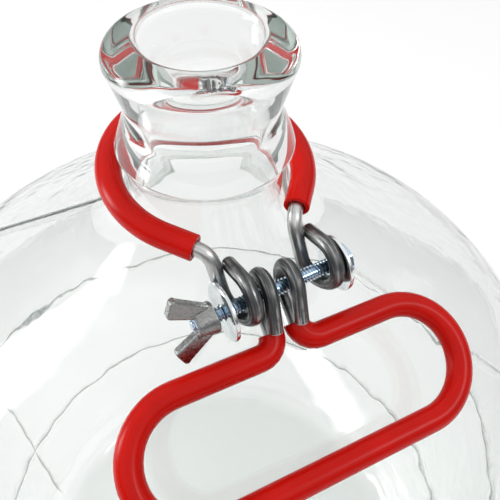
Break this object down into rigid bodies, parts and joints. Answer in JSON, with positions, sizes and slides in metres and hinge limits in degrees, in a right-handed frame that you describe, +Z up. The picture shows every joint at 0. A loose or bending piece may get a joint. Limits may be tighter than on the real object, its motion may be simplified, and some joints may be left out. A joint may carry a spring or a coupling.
{
  "type": "carboy",
  "caption": "Large round-shouldered glass bottle for brewing, with a short lipped neck and a sleeved wire handle that swings on a bolted neck clamp.",
  "frame": {"origin": "centre of the base, on the floor it stands on", "axes": "+Z up the neck's axis; the clamp and the handle face -Y; the clamp bolt runs along X with its head at +X"},
  "size_m": [0.3192, 0.319, 0.48],
  "materials": {
    "clear_glass": "clear, smooth, moulded",
    "red_sleeve": "soft satin gloss",
    "mill_steel": "dark drawn mill finish",
    "zinc_plate": "bright zinc plating",
    "cast_zinc": "grey satin casting"
  },
  "bodies": {
    "carboy": {"carboy_glass": "clear_glass"},
    "neck_ring": {"neck_ring_rod": "mill_steel", "neck_ring_sleeve": "red_sleeve"},
    "handle": {"handle_rod": "mill_steel", "handle_sleeve": "red_sleeve"},
    "bolt": {"clamp_bolt": "zinc_plate", "head_washer": "zinc_plate"},
    "nut_washer": {"nut_washer": "zinc_plate"},
    "wing_nut": {"wing_nut": "cast_zinc"}
  },
  "joints": [
    {"name": "ring_swivel", "type": "hinge", "parent": "carboy", "child": "neck_ring", "pos_m": [0, 0, 0.4348], "axis": [0, 0, 1], "continuous": true},
    {"name": "handle_swing", "type": "hinge", "parent": "neck_ring", "child": "handle", "pos_m": [0, -0.044, 0.4175], "axis": [-1, 0, 0], "range_deg": [0, 135]},
    {"name": "nut_spin", "type": "hinge", "parent": "neck_ring", "child": "wing_nut", "pos_m": [0, -0.044, 0.4175], "axis": [-1, 0, 0], "range_deg": [0, 1080]},
    {"name": "bolt_travel", "type": "slide", "parent": "neck_ring", "child": "bolt", "axis": [1, 0, 0], "range_m": [0, 0.0032]},
    {"name": "washer_slide", "type": "slide", "parent": "neck_ring", "child": "nut_washer", "axis": [-1, 0, 0], "range_m": [0, 0.0025]}
  ],
  "couplings": [
    {"joint": "bolt_travel", "follows": "nut_spin", "m_per_rad": 0.00016844}
  ]
}
